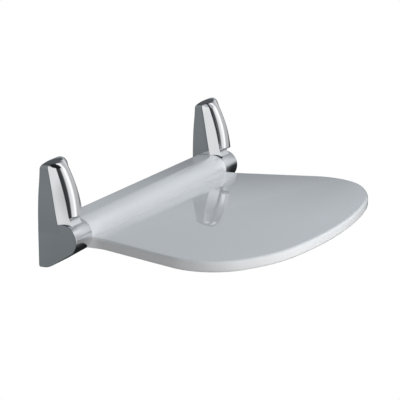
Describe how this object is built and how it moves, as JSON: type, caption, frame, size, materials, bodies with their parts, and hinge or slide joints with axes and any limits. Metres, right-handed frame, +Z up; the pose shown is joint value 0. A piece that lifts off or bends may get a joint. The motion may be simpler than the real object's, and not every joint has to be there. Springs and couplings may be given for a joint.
{
  "type": "wall-mounted folding shower seat",
  "caption": "White moulded shower seat board with a rounded front, hinged between chromed wall brackets so that it folds up towards the wall.",
  "frame": {"origin": "on the wall plane, midway between the two brackets, at the height of the hinge axis", "axes": "+X along the hinge axis towards the bracket on the right of someone facing the wall, +Y into the wall, +Z up; the seat reaches towards -Y"},
  "size_m": [0.458, 0.302, 0.1345],
  "materials": {
    "white_moulding": "high gloss white moulding",
    "chrome": "polished chrome plating",
    "zinc_steel": "zinc plated",
    "stainless": "turned stainless steel",
    "nylon": "natural nylon",
    "rubber": "matt grey rubber"
  },
  "bodies": {
    "brackets": {"left_bracket": "chrome", "right_bracket": "chrome", "left_wall_plate": "zinc_steel", "right_wall_plate": "zinc_steel", "left_clamp_screw": "stainless", "right_clamp_screw": "stainless", "left_axle_grub_screw": "stainless", "right_axle_grub_screw": "stainless", "hinge_axle": "stainless"},
    "seat": {"seat_board": "white_moulding", "left_hinge_bush": "nylon", "right_hinge_bush": "nylon", "left_thrust_washer": "nylon", "right_thrust_washer": "nylon", "left_wave_washer": "stainless", "right_wave_washer": "stainless", "left_wall_buffer": "rubber", "right_wall_buffer": "rubber"}
  },
  "joints": [
    {"name": "seat_fold", "type": "hinge", "parent": "brackets", "child": "seat", "pos_m": [0, -0.033, 0], "axis": [-1, 0, 0], "range_deg": [0, 86]}
  ]
}
